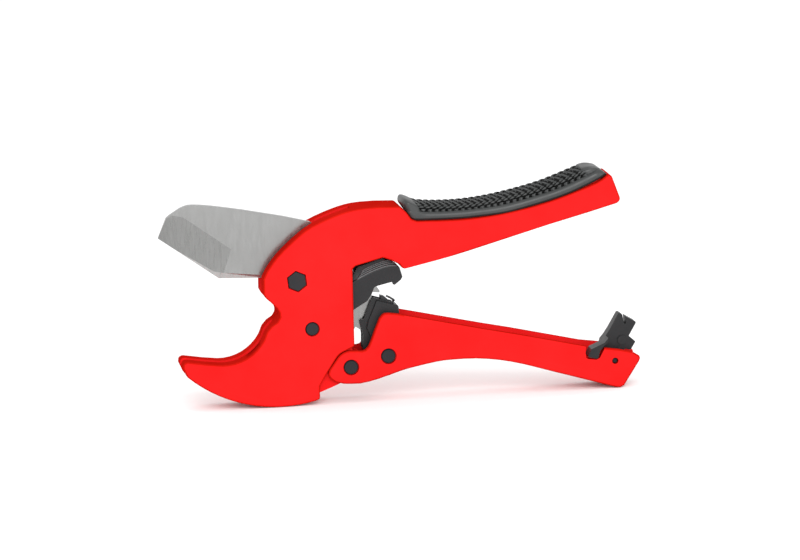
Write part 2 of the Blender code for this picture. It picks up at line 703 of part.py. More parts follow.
combine(cover, plate("cover_cheeks", inner_outline, -3.3, 3.3, home=CUTTERS), "UNION")
pawl_room = [(-30.0, 10.0), (-1.9, 10.0), (-1.9, 39.6), (-4.0, 47.0), (-7.0, 52.0), (-30.0, 60.0)]
combine(cover, plate("pawl_room", pawl_room, -2.2, 2.2, home=CUTTERS))
combine(cover, disc("cover_hole", PAWL_PIVOT, 2.9, -9.0, 9.0, sides=24, home=CUTTERS))
finish(cover)

pawl_coil = coil(PAWL_PIVOT, 4.1, 6.6, 5.7, 0.94, 52.0)
pawl_leg = [(-3.2, 5.7, 27.0), (-2.4, 5.7, 34.0), (-1.7, 5.6, 40.0), (-1.9, 5.4, 45.2), (-2.2, 4.6, 46.5),
    (-2.3, 0.0, 46.6)]
pawl_leg += [(-2.6, -1.0, 47.0), (-4.4, -1.2, 48.3), (-6.3, -1.2, 49.3)]
wire("drive_pawl_spring", pawl_coil + pawl_leg, 0.95, spring_steel, PAWL_PIVOT)

# ---------------------------------------------------------------- storage latch

LATCH_HALF = 3.4
latch_outline = rounded(
    [
        (105.9, 35.2, 0.8),
        (114.4, 30.1, 0.8),
        (110.5, 23.5),
        (113.8, 20.6, 0.4),
        (111.4, 16.8, 0.5),
        (108.4, 17.4),
        (106.4, 12.0, 2.0),
        (102.4, 9.2, 3.0),
        (98.6, 11.6, 2.0),
        (98.6, 17.6, 1.0),
        (96.9, 20.4),
        (97.3, 22.2),
        (99.2, 24.4),
        (101.5, 27.8),
    ],
    3,
)
latch = plate("latch_lever", latch_outline, -LATCH_HALF, LATCH_HALF, plastic, LATCH_PIVOT)
soften(latch, 0.4, 2)
foot_outline = rounded(
    [
        (91.0, 19.5, 0.8),
        (89.0, 15.7, 0.6),
        (94.0, 14.6, 0.8),
        (95.2, 18.6),
        (96.9, 20.4),
        (99.2, 22.6),
        (99.2, 24.4),
        (97.3, 22.2),
    ],
    3,
)
combine(latch, plate("latch_foot", foot_outline, -10.2, -2.0, home=CUTTERS), "UNION")
slit = [(106.9, 37.0), (108.3, 29.7), (109.2, 29.6), (109.0, 36.0)]
combine(latch, plate("latch_slit", slit, -6.0, 6.0, home=CUTTERS))
combine(latch, disc("latch_bore", LATCH_PIVOT, 1.55, -9.0, 9.0, sides=20, home=CUTTERS))
combine(latch, disc("latch_boss", (107.0, 21.9), 2.2, -4.2, -2.0, sides=24, home=CUTTERS), "UNION")
finish(latch)
turned(
    "latch_pin",
    LATCH_PIVOT,
    [(0.0, -8.8), (LATCH_SHANK - 0.25, -8.8), (LATCH_SHANK, -8.55), (LATCH_SHANK, 8.55),
        (LATCH_SHANK - 0.25, 8.8), (0.0, 8.8)],
    oxide,
    20,
)
latch_coil = coil(LATCH_PIVOT, 2.5, 4.6, 6.4, 2.0, 90.0)
wire("latch_spring", latch_coil, 0.7, spring_steel, LATCH_PIVOT)
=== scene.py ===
"""Studio scene of the ratcheting cutter for plastic pipe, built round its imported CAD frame."""

import json
import math

import bmesh
import bpy
import numpy as np
from mathutils import Matrix, Vector
from mathutils.geometry import delaunay_2d_cdt


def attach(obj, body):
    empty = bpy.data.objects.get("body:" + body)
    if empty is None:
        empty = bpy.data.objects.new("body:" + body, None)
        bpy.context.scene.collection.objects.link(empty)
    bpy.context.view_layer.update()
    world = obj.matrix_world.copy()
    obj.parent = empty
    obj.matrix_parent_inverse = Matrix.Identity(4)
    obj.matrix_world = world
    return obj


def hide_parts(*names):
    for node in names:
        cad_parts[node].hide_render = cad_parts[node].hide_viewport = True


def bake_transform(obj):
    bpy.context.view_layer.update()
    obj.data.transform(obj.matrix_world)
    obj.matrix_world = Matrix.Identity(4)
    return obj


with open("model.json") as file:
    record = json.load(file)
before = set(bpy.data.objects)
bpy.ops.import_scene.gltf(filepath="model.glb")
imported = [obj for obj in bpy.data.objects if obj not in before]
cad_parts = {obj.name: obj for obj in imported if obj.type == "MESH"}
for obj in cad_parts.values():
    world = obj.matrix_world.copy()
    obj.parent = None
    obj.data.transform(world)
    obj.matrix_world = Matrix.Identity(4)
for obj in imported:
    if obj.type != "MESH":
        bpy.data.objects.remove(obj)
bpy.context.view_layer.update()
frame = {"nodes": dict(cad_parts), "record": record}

MM = 0.001

JOINTS = {joint["name"]: joint for joint in frame["record"]["behaviour"]["joints"]}
NODE_BODY = {n: body for body, nodes in frame["record"]["behaviour"]["bodies"].items() for n in nodes}
NODE_SLOT = {row["node"]: row["material_slot"] for row in frame["record"]["subparts"]}

# Points in the side view are (x, z) in millimetres.
BLADE_PIVOT = (JOINTS["blade_hinge"]["pos_m"][0] / MM, JOINTS["blade_hinge"]["pos_m"][2] / MM)


# ---------------------------------------------------------------- node materials


def shader(name):
    made = bpy.data.materials.new(name)
    made.use_nodes = True
    return made, made.node_tree, made.node_tree.nodes["Principled BSDF"]


def noise(tree, scale, detail=2.0, stretch=(1.0, 1.0, 1.0)):
    """A noise value over the object's own coordinates, in metres, stretched along its axes."""
    where = tree.nodes.new("ShaderNodeTexCoord")
    mapping = tree.nodes.new("ShaderNodeMapping")
    mapping.inputs["Scale"].default_value = stretch
    made = tree.nodes.new("ShaderNodeTexNoise")
    made.inputs["Scale"].default_value = scale
    made.inputs["Detail"].default_value = detail
    tree.links.new(where.outputs["Object"], mapping.inputs["Vector"])
    tree.links.new(mapping.outputs["Vector"], made.inputs["Vector"])
    return made.outputs["Fac"]


# A noise value is mostly between these two, so colours and roughness are spread over them.
NOISE_LOW, NOISE_HIGH = 0.3, 0.7


def ramp(tree, value, dark, light):
    """A colour that goes from dark to light with the value."""
    made = tree.nodes.new("ShaderNodeValToRGB")
    for stop, place, colour in zip(made.color_ramp.elements, (NOISE_LOW, NOISE_HIGH), (dark, light)):
        stop.position = place
        stop.color = (*colour, 1.0)
    tree.links.new(value, made.inputs["Fac"])
    return made.outputs["Color"]


def spread(tree, value, low, high):
    """A number that goes from low to high with the value."""
    made = tree.nodes.new("ShaderNodeMapRange")
    made.inputs["From Min"].default_value = NOISE_LOW
    made.inputs["From Max"].default_value = NOISE_HIGH
    made.inputs["To Min"].default_value = low
    made.inputs["To Max"].default_value = high
    tree.links.new(value, made.inputs["Value"])
    return made.outputs["Result"]


def bump(tree, principled, value, strength, distance):
    """A fine relief from the value; distance is in millimetres."""
    made = tree.nodes.new("ShaderNodeBump")
    made.inputs["Strength"].default_value = strength
    made.inputs["Distance"].default_value = distance * MM
    tree.links.new(value, made.inputs["Height"])
    tree.links.new(made.outputs["Normal"], principled.inputs["Normal"])


def coated(name, dark, light, rough, metallic=0.0, grain=1200.0, relief=0.05, specular=0.5):
    """A surface whose colour and roughness vary a little, with a fine relief."""
    made, tree, principled = shader(name)
    tree.links.new(ramp(tree, noise(tree, 45.0, 3.0), dark, light), principled.inputs["Base Color"])
    tree.links.new(spread(tree, noise(tree, 160.0, 3.0), *rough), principled.inputs["Roughness"])
    bump(tree, principled, noise(tree, grain, 2.0), relief, 0.2)
    principled.inputs["Metallic"].default_value = metallic
    principled.inputs["Specular IOR Level"].default_value = specular
    return made


def ground_steel(name, dark, light, stretch, rough=(0.24, 0.34)):
    """Steel with fine grinding lines; stretch scales the noise along x, y and z."""
    made, tree, principled = shader(name)
    lines = noise(tree, 260.0, 4.0, stretch)
    tree.links.new(ramp(tree, lines, dark, light), principled.inputs["Base Color"])
    tree.links.new(spread(tree, lines, *rough), principled.inputs["Roughness"])
    bump(tree, principled, lines, 0.05, 0.05)
    principled.inputs["Metallic"].default_value = 0.85
    return made


def red_enamel():
    dark, light = (0.58, 0.008, 0.008), (0.64, 0.011, 0.011)
    return coated("red_enamel", dark, light, (0.5, 0.58), grain=900.0, relief=0.02, specular=0.03)


def grip_rubber():
    dark, light = (0.024, 0.026, 0.026), (0.034, 0.036, 0.036)
    return coated("grip_rubber", dark, light, (0.36, 0.46), grain=2200.0, relief=0.08, specular=0.42)


def black_plastic():
    dark, light = (0.009, 0.009, 0.010), (0.014, 0.014, 0.015)
    return coated("black_plastic", dark, light, (0.36, 0.46), grain=2500.0, relief=0.08, specular=0.24)


def black_oxide():
    dark, light = (0.007, 0.007, 0.009), (0.013, 0.013, 0.015)
    return coated("black_oxide", dark, light, (0.34, 0.46), grain=1500.0, relief=0.08, specular=0.22)


def dark_tool_steel():
    dark, light = (0.02, 0.02, 0.022), (0.035, 0.035, 0.036)
    return coated("dark_tool_steel", dark, light, (0.38, 0.5), metallic=0.5, specular=0.3)


def spring_steel():
    dark, light = (0.03, 0.03, 0.032), (0.06, 0.06, 0.062)
    return coated("spring_steel", dark, light, (0.28, 0.36), metallic=0.8)


def zinc_steel():
    dark, light = (0.30, 0.30, 0.29), (0.42, 0.42, 0.41)
    return coated("zinc_steel", dark, light, (0.32, 0.44), metallic=1.0)


def brushed_steel():
    dark, light = (0.225, 0.226, 0.222), (0.25, 0.251, 0.247)
    return ground_steel("brushed_steel", dark, light, (3.0, 1.0, 0.5), rough=(0.2, 0.26))


def steel_grind_painted_shade():
    """The wide bevel that is ground on the blade, its steel painted darker as shade."""
    dark, light = (0.176, 0.177, 0.173), (0.20, 0.201, 0.197)
    return ground_steel("steel_grind_painted_shade", dark, light, (6.0, 1.0, 0.5))


def steel_land_painted_highlight():
    """The narrow bevel along the blade's edge, its steel painted brighter as a highlight."""
    dark, light = (0.33, 0.33, 0.325), (0.43, 0.43, 0.425)
    return ground_steel("steel_land_painted_highlight", dark, light, (3.0, 1.0, 0.25))


def enamel_painted_shade():
    """The enamel darkened as painted shade, for faces that look up, down or along the tool."""
    dark, light = (0.40, 0.006, 0.003), (0.47, 0.009, 0.005)
    return coated("enamel_painted_shade", dark, light, (0.6, 0.7), grain=900.0, relief=0.02, specular=0.0)


# Near-black rubber, painted shade for the grooves between the grip's teeth.
def grip_groove_painted_shade():
    dark, light = (0.003, 0.003, 0.003), (0.006, 0.006, 0.006)
    return coated("grip_groove_painted_shade", dark, light, (0.55, 0.65), grain=2200.0, specular=0.08)


# Darker rubber, painted shade on the underside of the grip's bead.
def grip_foot_painted_shade():
    dark, light = (0.010, 0.011, 0.011), (0.016, 0.017, 0.017)
    return coated("grip_foot_painted_shade", dark, light, (0.5, 0.6), grain=2200.0, specular=0.15)


# Black plastic painted lighter, as a highlight along the release lever's thumb ribs.
def rib_painted_highlight():
    dark, light = (0.030, 0.030, 0.032), (0.042, 0.042, 0.044)
    return coated("rib_painted_highlight", dark, light, (0.28, 0.36), grain=2500.0)


SLOT_LOOKS = (
    red_enamel,
    grip_rubber,
    black_plastic,
    black_oxide,
    dark_tool_steel,
    spring_steel,
    zinc_steel,
    brushed_steel,
)
LOOKS = {look.__name__: look() for look in SLOT_LOOKS}
GRIND_SHADE_LOOK = steel_grind_painted_shade()
LAND_HIGHLIGHT_LOOK = steel_land_painted_highlight()
ENAMEL_SHADE_LOOK = enamel_painted_shade()
GROOVE_SHADE_LOOK = grip_groove_painted_shade()
FOOT_SHADE_LOOK = grip_foot_painted_shade()
RIB_HIGHLIGHT_LOOK = rib_painted_highlight()


# ---------------------------------------------------------------- pieces from the CAD solids

# Springs listed with a second body and two points, where the leg reaches over to it. Only the listing is used:
# such a spring is baked in place and given no body.
BENDS = {
    "drive_pawl_spring": ("drive_pawl", (-0.0072, 0.0, 0.0240), (-0.0020, 0.0, 0.0420)),
    "handle_spring": ("lower_handle", (-0.0205, 0.0, 0.0125), (-0.0120, 0.0, 0.0142)),
}
SHARP_ANGLE = 32.0
FLAT_ANGLE = 0.6
WELD_DISTANCE = 2e-6
# A red face whose normal has less than this along Y takes the enamel darkened as painted shade.
SIDE_FACING = 0.93
BUILT_HERE = ("grip_pad", "blade")


def dress(piece, slot_name, body, bend=None):
    """Gives a piece its look and its body; when bend is given, the piece is only baked in place and gets no
    body.
    """
    piece.data.materials.clear()
    piece.data.materials.append(LOOKS[slot_name])
    if bend:
        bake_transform(piece)
    else:
        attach(piece, body)


def refined(name):
    """A piece in place of a CAD node: the same solid, with smooth shading between its sharp edges."""
    source = frame["nodes"][name]
    work = bmesh.new()
    work.from_mesh(source.data)
    bmesh.ops.remove_doubles(work, verts=work.verts, dist=WELD_DISTANCE)
    bmesh.ops.dissolve_limit(work, angle_limit=math.radians(FLAT_ANGLE), verts=work.verts, edges=work.edges)
    mesh = bpy.data.meshes.new(name + "_piece")
    work.to_mesh(mesh)
    work.free()
    mesh.shade_smooth()
    mesh.set_sharp_from_angle(angle=math.radians(SHARP_ANGLE))
    piece = bpy.data.objects.new(name + "_piece", mesh)
    bpy.context.scene.collection.objects.link(piece)
    weighted = piece.modifiers.new("Face_weighted", "WEIGHTED_NORMAL")
    weighted.keep_sharp = True
    dress(piece, NODE_SLOT[name], NODE_BODY[name], BENDS.get(name))
    # Red faces that do not face along Y, the rims and walls, take the enamel darkened as painted shade.
    if NODE_SLOT[name] == "red_enamel":
        piece.data.materials.append(ENAMEL_SHADE_LOOK)
        for face in mesh.polygons:
            face.material_index = int(abs(face.normal.y) < SIDE_FACING)
    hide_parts(name)


for node_name in NODE_SLOT:
    if node_name not in BUILT_HERE:
        refined(node_name)


# ---------------------------------------------------------------- runs, grids and new pieces


def through(points, steps):
    """A smooth run through the points (Catmull-Rom), in any number of dimensions."""
    ends = [points[0]] + list(points) + [points[-1]]
    found = []
    for i in range(1, len(ends) - 2):
        a, b, c, d = (np.array(p, float) for p in ends[i - 1 : i + 3])
        for step in range(steps):
            t = step / steps
            bend = 2 * a - 5 * b + 4 * c - d
            twist = 3 * b - a - 3 * c + d
            found.append(0.5 * (2 * b + (c - a) * t + bend * t * t + twist * t**3))
    return found + [np.array(points[-1], float)]


def evenly(points, count):
    """count points at equal spacing along a run."""
    run = np.array(points, float)
    length = np.concatenate([[0.0], np.cumsum(np.linalg.norm(np.diff(run, axis=0), axis=1))])
    wanted = np.linspace(0.0, length[-1], count)
    return np.stack([np.interp(wanted, length, run[:, k]) for k in range(run.shape[1])], axis=1)


def grid_mesh(name, rows):
    """A closed mesh through rows of points in millimetres. Each row is a loop, and both ends are capped."""
    count, around = len(rows), len(rows[0])
    points = [tuple(float(v) * MM for v in point) for row in rows for point in row]
    faces = []
    for i in range(count - 1):
        for j in range(around):
            k = (j + 1) % around
            faces.append((i * around + j, i * around + k, (i + 1) * around + k, (i + 1) * around + j))
    faces.append(tuple(reversed(range(around))))
    faces.append(tuple((count - 1) * around + j for j in range(around)))
    mesh = bpy.data.meshes.new(name)
    mesh.from_pydata(points, [], faces)
    work = bmesh.new()
    work.from_mesh(mesh)
    bmesh.ops.recalc_face_normals(work, faces=work.faces)
    work.to_mesh(mesh)
    work.free()
    return mesh


def piece_from(mesh, name, slot_name, body, degrees, replaced=(), extra=()):
    """A piece from a mesh; its faces keep their material index, counted from the slot's own look."""
    zones = [face.material_index for face in mesh.polygons]
    mesh.shade_smooth()
    mesh.set_sharp_from_angle(angle=math.radians(degrees))
    piece = bpy.data.objects.new(name, mesh)
    bpy.context.scene.collection.objects.link(piece)
    dress(piece, slot_name, body)
    for look in extra:
        mesh.materials.append(look)
    mesh.polygons.foreach_set("material_index", zones)
    if replaced:
        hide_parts(*replaced)
    return piece


# ---------------------------------------------------------------- rubber grip

# The pad's lower and upper lines in the side view, front to rear.
GRIP_LOW = [(6.0, 87.2), (8.4, 86.2), (27.8, 85.9), (40.0, 86.5), (52.0, 87.6), (66.0, 90.6)]
GRIP_LOW += [(80.1, 94.5), (92.0, 99.2), (100.6, 103.4)]
GRIP_HIGH = [(0.6, 94.6), (9.4, 94.2), (19.0, 93.4), (31.4, 93.4), (43.6, 94.6), (55.9, 96.8)]
GRIP_HIGH += [(70.0, 100.2), (84.1, 105.1), (90.0, 107.1), (94.6, 107.9)]
GRIP_HALF = 10.7
GRIP_SHARP = 50.0
STATIONS = 420
RUN_STEPS = 8

# The pattern: slanted teeth in rows along the pad. It fades in up to TEETH_FROM and out after TEETH_TO.
TEETH_START, TEETH_FROM = 7.0, 8.4
TEETH_TO, TEETH_END = 87.0, 89.0
TOOTH_STEP = 3.1
TOOTH_DEPTH = 1.25
TOOTH_SLANT = 0.9
TOOTH_RISE_SHARE = 0.66
ROW_WIDTH = 1.75
ROW_SHIFT = 0.35
GROOVE_STEEPNESS = 6.0
GROOVE_FLOOR = 0.1
# Faces of the teeth cut deeper than this take the grooves' painted shade.
GROOVE_SHADE_BELOW = -0.62 * TOOTH_DEPTH

# The collar is a swelling at the front, and both ends are rounded over some stations.
COLLAR_AT, COLLAR_REACH = 4.4, 3.2
COLLAR_RISE = 2.4
COLLAR_WIDEN = 0.2
END_ROUNDING = 3.0
FRONT_STATIONS, REAR_STATIONS, END_OFFSET = 16.0, 20.0, 0.4
# The points under the bead on each side of the section take painted shade.
FOOT_POINTS = 3


def cross_section(height):
    """The near half of the pad's section, from foot to the middle of the top: (rise, depth, patterned)."""
    bead = [(0.0, -8.4), (0.0, -9.2), (0.5, -10.0), (1.3, -10.5), (2.3, -10.7), (3.3, -10.6)]
    bead += [(4.1, -10.2), (4.6, -9.6), (4.8, -9.1)]
    corners = [(5.0, -9.15), (0.55 * height + 2.2, -8.9), (height - 1.0, -7.9)]
    corners += [(height - 0.25, -6.2), (height, -3.4), (height, 0.0)]
    shoulder = through(corners, RUN_STEPS)
    plain = [(rise, depth, False) for rise, depth in bead]
    return plain + [(min(rise, height), depth, True) for rise, depth in shoulder]


def pattern(along, across):
    """Relief of the slanted teeth, in rows that run along the grip: 1 on a crest and 0 in a groove."""
    row = math.floor(across / ROW_WIDTH)
    inside_row = across / ROW_WIDTH - row
    groove = min(1.0, GROOVE_STEEPNESS * min(inside_row, 1.0 - inside_row) + GROOVE_FLOOR)
    phase = ((along + TOOTH_SLANT * across) / TOOTH_STEP + ROW_SHIFT * row) % 1.0
    if phase < TOOTH_RISE_SHARE:
        return phase / TOOTH_RISE_SHARE * groove
    return (1.0 - phase) / (1.0 - TOOTH_RISE_SHARE) * groove


def ease(value, low, high):
    """A smooth step from 0 at low to 1 at high."""
    t = min(1.0, max(0.0, (value - low) / (high - low)))
    return t * t * (3.0 - 2.0 * t)


def ways_from_middle(half):
    """How far each point of a half section is from its last one, the middle of the top, measured along it."""
    distances = [0.0]
    for here, past in zip(reversed(half[:-1]), reversed(half[1:])):
        distances.append(distances[-1] + math.hypot(here[0] - past[0], here[1] - past[1]))
    return distances[::-1]


def end_tuck(station):
    """How far the surface is drawn in at a station, so that both ends are round."""
    front = (station + END_OFFSET) / FRONT_STATIONS
    rear = (STATIONS - 1 - station + END_OFFSET) / REAR_STATIONS
    near_end = min(1.0, front, rear)
    return END_ROUNDING * (1.0 - math.sqrt(max(0.0, 1.0 - (1.0 - near_end) ** 2)))


def grip_row(station, base, top):
    """One closed row across the pad, and how deep the pattern is cut at each of its points."""
    way = top - base
    height = float(np.linalg.norm(way))
    way = way / height
    along = top[0]
    smooth_end = max(1.0 - ease(along, TEETH_START, TEETH_FROM), ease(along, TEETH_TO, TEETH_END))
    relief = TOOTH_DEPTH * (1.0 - smooth_end)
    collar = math.exp(-(((along - COLLAR_AT) / COLLAR_REACH) ** 2))
    tuck = end_tuck(station)
    half = cross_section(height)
    near, cut = [], []
    for (rise, depth, patterned), across in zip(half, ways_from_middle(half)):
        lift = rise / height
        out = relief * (pattern(along, across) - 1.0) if patterned else 0.0
        flat = ease(lift, 0.55, 1.0)
        swell = COLLAR_RISE * collar * ease(lift, 0.25, 0.8)
        rise_now = rise + (out - tuck) * flat + swell
        depth_now = (depth - out * (1.0 - flat)) * (1.0 - tuck / GRIP_HALF)
        depth_now *= 1.0 + COLLAR_WIDEN * collar * ease(lift, 0.3, 0.5)
        x, z = base + way * rise_now
        near.append((x, max(depth_now, -GRIP_HALF), z))
        cut.append(out)
    return near + [(x, -y, z) for x, y, z in reversed(near[:-1])], cut + cut[-2::-1]


def grip_mesh():
    """The pad, with its grooves and its feet marked as their own zones, which take darker rubber as painted
    shade.
    """
    low = evenly(through(GRIP_LOW, RUN_STEPS), STATIONS)
    high = evenly(through(GRIP_HIGH, RUN_STEPS), STATIONS)
    rows, depths = [], []
    for station in range(STATIONS):
        row, cut = grip_row(station, low[station], high[station])
        rows.append(row)
        depths.append(cut)
    mesh = grid_mesh("grip", rows)
    around = len(rows[0])
    # Points deep in a groove mark the faces that take painted shade.
    low_point = np.array(depths).reshape(-1) < GROOVE_SHADE_BELOW
    for face in mesh.polygons:
        if len(face.vertices) == 4:
            face.material_index = int(low_point[list(face.vertices)].sum() >= 2)
            # Faces under the bead take painted shade.
            places = [v % around for v in face.vertices]
            if max(places) <= FOOT_POINTS or min(places) >= around - 1 - FOOT_POINTS:
                face.material_index = 2
    return mesh


# The grooves and the underside of the bead take darker rubber as painted shade.
piece_from(grip_mesh(), "grip", "grip_rubber", "body", GRIP_SHARP, ["grip_pad"], [GROOVE_SHADE_LOOK, FOOT_SHADE_LOOK])


# ---------------------------------------------------------------- blade

# Half the blade's thickness at its edge, along the narrow bevel's top, and elsewhere.
EDGE_Y, LAND_Y, FACE_Y = 0.12, 0.85, 1.30
BLADE_SHARP = 12.0

# Teeth on the tail and notches round the hub, set out about the pivot. Radii are in millimetres and
# angles in degrees.
TOOTH_COUNT, TOOTH_PITCH, FIRST_TOOTH = 6, 9.3, -12.4
TOOTH_TIP, TOOTH_ROOT, VALLEY_LIFT = 41.6, 38.0, 0.4
TOOTH_FLAT, TOOTH_HOOK, VALLEY_START = 1.1, 0.6, 4.6
TAIL_END = [(36.5, 4.0), (34.0, 2.5)]
TAIL_TO_HUB = [(-35.0, 36.0), (-35.9, 46.4)]
NOTCH_COUNT, FIRST_NOTCH = 7, -42.5
HUB_RADIUS, HUB_NOTCH = 15.3, 14.1
NOTCH_FLAT, NOTCH_BOTTOM = 2.6, 8.6
PLAIN_HUB = (-112.0, -168.0, 9)
BORE_RADIUS, BORE_STEP = 4.5, 11.25
BORE_KEPT_CLEAR = 4.4
INSIDE_ONLY, POINT_MERGE = 1, 1e-3

TIP = (-114.6, 82.6)
HEEL = (-86.1, 61.9)
BLADE_BACK = (-64.4, 61.0)
CROWN = [(-110.4, 92.0), (-109.0, 93.2), (-105.8, 95.2), (-102.6, 96.9), (-98.4, 97.8)]
CROWN += [(-89.1, 96.9), (-73.8, 94.2)]
IN_HOUSING = [(-54.4, 90.1), (-42.0, 86.9), (-35.5, 82.6), (-30.0, 75.8), (-24.6, 66.2), (-19.0, 59.0)]
IN_HOUSING += [(-13.2, 54.9), (-11.6, 54.1), (-10.6, 53.8)]
GRIND_LINE = [(-107.9, 93.5), (-102.2, 92.1), (-79.9, 75.7), (-83.0, 66.7), (-83.8, 64.5)]
LAND_LINE = [(-107.3, 77.3), (-88.4, 65.4), (-83.8, 64.5), (-64.3, 62.5)]
ON_LINE = 0.02
CROWN_STEPS = 4


def polar(radius, degrees):
    """A point about the blade's pivot."""
    angle = math.radians(degrees)
    return (BLADE_PIVOT[0] + radius * math.cos(angle), BLADE_PIVOT[1] + radius * math.sin(angle))


def tail_teeth():
    """The tail: ratchet teeth with a steep side and a slanted one, then its end and the way back to the hub."""
    tail = []
    for tooth in range(TOOTH_COUNT):
        at = FIRST_TOOTH - tooth * TOOTH_PITCH
        if tooth:
            tail.append(polar(TOOTH_ROOT + VALLEY_LIFT, at + VALLEY_START))
        tail.append(polar(TOOTH_TIP, at + TOOTH_FLAT))
        tail.append(polar(TOOTH_TIP, at))
        tail.append(polar(TOOTH_ROOT, at - TOOTH_HOOK))
    last = FIRST_TOOTH - TOOTH_COUNT * TOOTH_PITCH
    return tail + [polar(radius, last + turn) for radius, turn in TAIL_END] + TAIL_TO_HUB


def hub_notches():
    """The hub: notches for the holding pawl, then a plain arc."""
    hub = []
    for notch in range(NOTCH_COUNT):
        at = FIRST_NOTCH - notch * TOOTH_PITCH
        hub += [polar(HUB_RADIUS, at), polar(HUB_RADIUS, at - NOTCH_FLAT)]
        hub.append(polar(HUB_NOTCH, at - NOTCH_BOTTOM))
    return hub + [polar(HUB_NOTCH, at) for at in np.linspace(*PLAIN_HUB)]


def blade_outline():
    """The blade's outline from its tip over the back, down the tail, round the hub and along the edge."""
    crown = [tuple(point) for point in through(CROWN, CROWN_STEPS)]
    return [TIP] + crown + IN_HOUSING + tail_teeth() + hub_notches() + [BLADE_BACK, HEEL]


def inside(point, polygon):
    """Whether a point lies in a polygon: a ray from it then crosses the sides an odd number of times."""
    x, y = point
    found = False
    for i, (x1, y1) in enumerate(polygon):
        x0, y0 = polygon[i - 1]
        if (y0 > y) != (y1 > y) and x < (x1 - x0) * (y - y0) / (y1 - y0) + x0:
            found = not found
    return found


def near_line(point, line):
    """Whether a point lies on a run of straight lines."""
    here = np.array(point)
    for a, b in zip(line, line[1:]):
        a, b = np.array(a, float), np.array(b, float)
        t = np.clip((here - a) @ (b - a) / ((b - a) @ (b - a)), 0.0, 1.0)
        if np.linalg.norm(here - a - (b - a) * t) < ON_LINE:
            return True
    return False


def half_thickness(point):
    """Half the blade's thickness at a point of the side view."""
    if near_line(point, [TIP, HEEL, BLADE_BACK]):
        return EDGE_Y
    if near_line(point, LAND_LINE[:2]):
        return LAND_Y
    return FACE_Y


def flat_blade():
    """The blade in the side view: its points, and its triangles, each with a zone.

    Zone 0 is plain, 1 is the wide bevel and 2 the narrow one.
    """
    bore = [polar(BORE_RADIUS, at) for at in np.arange(0.0, 360.0, BORE_STEP)]
    outline = blade_outline()
    points, edges = [], []
    for loop in (outline, bore):
        first = len(points)
        points += [Vector(p) for p in loop]
        edges += [(first + i, first + (i + 1) % len(loop)) for i in range(len(loop))]
    for line in (GRIND_LINE, LAND_LINE):
        first = len(points)
        points += [Vector(p) for p in line]
        edges += [(first + i, first + i + 1) for i in range(len(line) - 1)]
    flat, _, triangles, _, _, _ = delaunay_2d_cdt(points, edges, [], INSIDE_ONLY, POINT_MERGE)
    flat = [tuple(p) for p in flat]
    grind = [TIP, *GRIND_LINE, *reversed(LAND_LINE[:2])]
    land = [*LAND_LINE, BLADE_BACK, HEEL]
    kept = []
    for triangle in triangles:
        middle = np.mean([flat[i] for i in triangle], axis=0)
        if math.dist(middle, BLADE_PIVOT) < BORE_KEPT_CLEAR or not inside(middle, outline):
            continue
        zone = 2 if inside(middle, land) else 1 if inside(middle, grind) else 0
        kept.append((tuple(triangle), zone))
    return flat, kept


def rim_sides(kept):
    """The sides that belong to one triangle only, in the order they are met."""
    lone = {}
    for triangle, _ in kept:
        for i in range(3):
            side = (triangle[i], triangle[(i + 1) % 3])
            lone[side] = side[::-1] not in lone
            if not lone[side]:
                lone[side[::-1]] = False
    return [side for side, alone in lone.items() if alone]


def blade_mesh():
    """The flat blade given its thickness point by point, with a rim round its outline and its bore."""
    flat, kept = flat_blade()
    count = len(flat)
    corners = [(x * MM, -half_thickness((x, z)) * MM, z * MM) for x, z in flat]
    corners += [(x, -y, z) for x, y, z in corners]
    faces, zones = [], []
    for triangle, zone in kept:
        faces += [triangle, tuple(count + i for i in reversed(triangle))]
        zones += [zone, zone]
    for a, b in rim_sides(kept):
        faces.append((b, a, count + a, count + b))
        zones.append(0)
    mesh = bpy.data.meshes.new("blade_piece")
    mesh.from_pydata(corners, [], faces)
    mesh.polygons.foreach_set("material_index", zones)
    work = bmesh.new()
    work.from_mesh(mesh)
    bmesh.ops.delete(work, geom=[v for v in work.verts if not v.link_faces], context="VERTS")
    bmesh.ops.recalc_face_normals(work, faces=work.faces)
    work.to_mesh(mesh)
    work.free()
    return mesh


# The wide bevel takes steel painted darker as shade and the narrow one steel painted brighter as a highlight;
# both keep real grinding lines.
BEVEL_LOOKS = [GRIND_SHADE_LOOK, LAND_HIGHLIGHT_LOOK]
piece_from(blade_mesh(), "blade_piece", "brushed_steel", "blade", BLADE_SHARP, ["blade"], BEVEL_LOOKS)


# ---------------------------------------------------------------- thumb ribs on the release lever

LEVER_TOP = [(-21.0, 58.6), (-14.3, 61.7), (-8.3, 63.8), (-4.1, 64.4), (-1.2, 64.1)]
# Each rib on the near side, outermost first: its depth, its rise above the lever's top line, and its radius.
RIBS = [(-5.95, 0.15, 0.55), (-5.35, 0.95, 0.50), (-4.85, 1.75, 0.45), (-4.7, 2.55, 0.40)]
RIB_STATIONS = 40
RIB_SIDES = 10
RIB_END_SHRINK = 0.45
RIB_LEAD_IN = (-1.0, 5.0)
LEVER_STEPS = 6
RIB_SHARP = 60.0


def tube_rows(path, radius):
    """Rings of points round a path, which stays in a plane of one depth or bends gently."""
    rows = []
    for i, here in enumerate(path):
        way = np.array(path[min(i + 1, len(path) - 1)]) - np.array(path[max(i - 1, 0)])
        way = way / np.linalg.norm(way)
        side = np.cross(way, (0.0, 1.0, 0.0))
        side = side / max(np.linalg.norm(side), 1e-6)
        other = np.cross(way, side)
        shrink = RIB_END_SHRINK if i in (0, len(path) - 1) else 1.0
        turns = np.linspace(0.0, 2.0 * math.pi, RIB_SIDES, endpoint=False)
        ring = [side * math.cos(a) + other * math.sin(a) for a in turns]
        rows.append([np.array(here) + radius * shrink * out for out in ring])
    return rows


